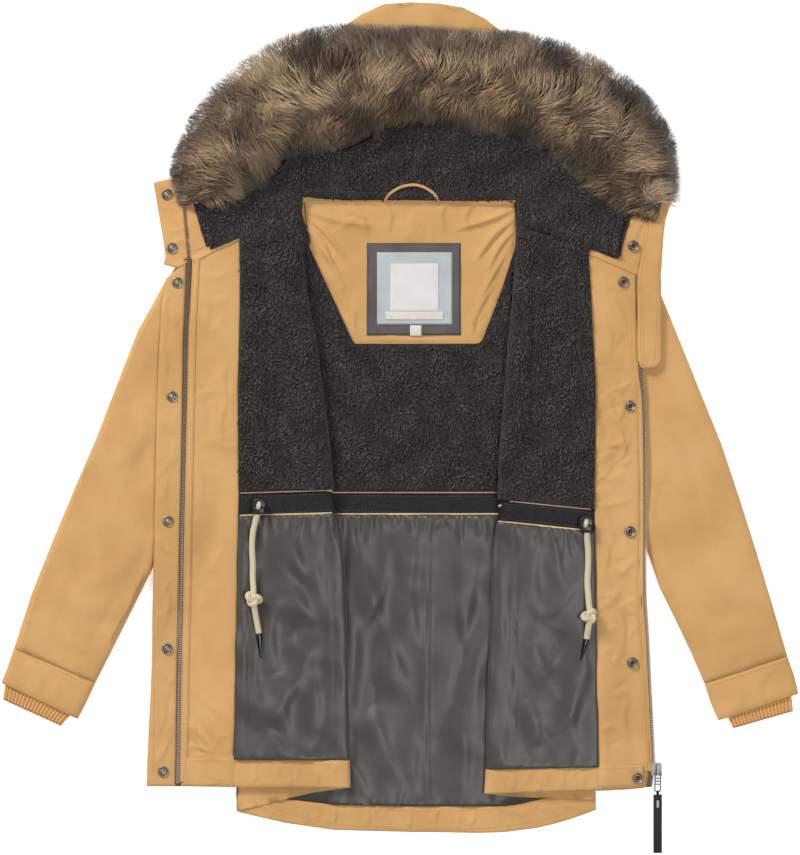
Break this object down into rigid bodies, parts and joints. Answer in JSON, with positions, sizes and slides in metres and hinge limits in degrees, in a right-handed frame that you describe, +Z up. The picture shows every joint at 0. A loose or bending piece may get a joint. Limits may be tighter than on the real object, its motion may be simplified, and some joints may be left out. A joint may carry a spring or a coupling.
{
  "type": "fur trimmed parka",
  "caption": "Open winter parka with a fur trimmed hood, laid flat on its back with its fronts folded out to show the fleece lining.",
  "frame": {"origin": "on the surface the coat lies on, under the middle of its outline", "axes": "+Y runs up the coat from hem to hood, +X to the wearer's left front as it is seen from above on the right, +Z up from the surface"},
  "size_m": [1.037, 1.108, 0.0619],
  "materials": {
    "camel_cloth": "tightly woven cotton and nylon shell cloth, matt with a soft sheen",
    "sherpa_fleece": "curled sherpa pile, deep and matt",
    "taffeta_lining": "smooth taffeta lining with a satin sheen",
    "black_tape": "woven tape, matt black",
    "faux_fur": "long faux fur pile, tan with dark tips",
    "rib_knit": "rib knit cuff",
    "zip_tape": "woven zip tape with metal coloured teeth",
    "label_cloth": "grey woven label cloth, bare",
    "pale_label": "pale woven label cloth, bare",
    "drawcord": "braided cotton cord",
    "snap_metal": "aged press stud metal",
    "zip_metal": "bright cast zip metal",
    "black_plastic": "black moulded plastic",
    "dark_metal": "black plated metal",
    "pull_webbing": "black webbing"
  },
  "bodies": {
    "parka": {"back_shell": "camel_cloth", "back_yoke": "camel_cloth", "back_hem_facing": "camel_cloth", "back_fleece": "sherpa_fleece", "back_tape": "black_tape", "back_lining": "taffeta_lining", "label_frame": "label_cloth", "label_panel": "pale_label", "size_tag": "pale_label", "hanger_loop": "camel_cloth", "left_front_shell": "camel_cloth", "left_facing": "camel_cloth", "left_storm_flap": "camel_cloth", "left_hem_facing": "camel_cloth", "left_fleece": "sherpa_fleece", "left_tape": "black_tape", "left_lining": "taffeta_lining", "left_zip_tape": "zip_tape", "right_front_shell": "camel_cloth", "right_facing": "camel_cloth", "right_hem_facing": "camel_cloth", "right_fleece": "sherpa_fleece", "right_tape": "black_tape", "right_lining": "taffeta_lining", "right_zip_tape": "zip_tape", "chin_guard": "camel_cloth", "left_sleeve": "camel_cloth", "right_sleeve": "camel_cloth", "left_cuff": "camel_cloth", "right_cuff": "camel_cloth", "left_rib": "rib_knit", "right_rib": "rib_knit", "hood_shell": "camel_cloth", "hood_fleece": "sherpa_fleece", "fur_trim": "faux_fur", "left_collar": "camel_cloth", "right_collar": "camel_cloth", "left_snap_1": "snap_metal", "left_snap_2": "snap_metal", "left_snap_3": "snap_metal", "left_snap_4": "snap_metal", "left_snap_5": "snap_metal", "left_snap_6": "snap_metal", "left_snap_7": "snap_metal", "right_snap_1": "snap_metal", "right_snap_2": "snap_metal", "right_snap_3": "snap_metal", "right_snap_4": "snap_metal", "right_snap_5": "snap_metal", "right_snap_6": "snap_metal", "left_cord": "drawcord", "right_cord": "drawcord", "left_stopper": "black_plastic", "right_stopper": "black_plastic", "left_aglet": "dark_metal", "right_aglet": "dark_metal", "zip_slider": "zip_metal"},
    "pull": {"zip_pull": "zip_metal", "zip_pull_tape": "pull_webbing"}
  },
  "joints": [
    {"name": "zip_pull_swing", "type": "hinge", "parent": "parka", "child": "pull", "pos_m": [0.3355, -0.4485, 0.0102], "axis": [-1, 0, 0], "range_deg": [0, 150]}
  ]
}
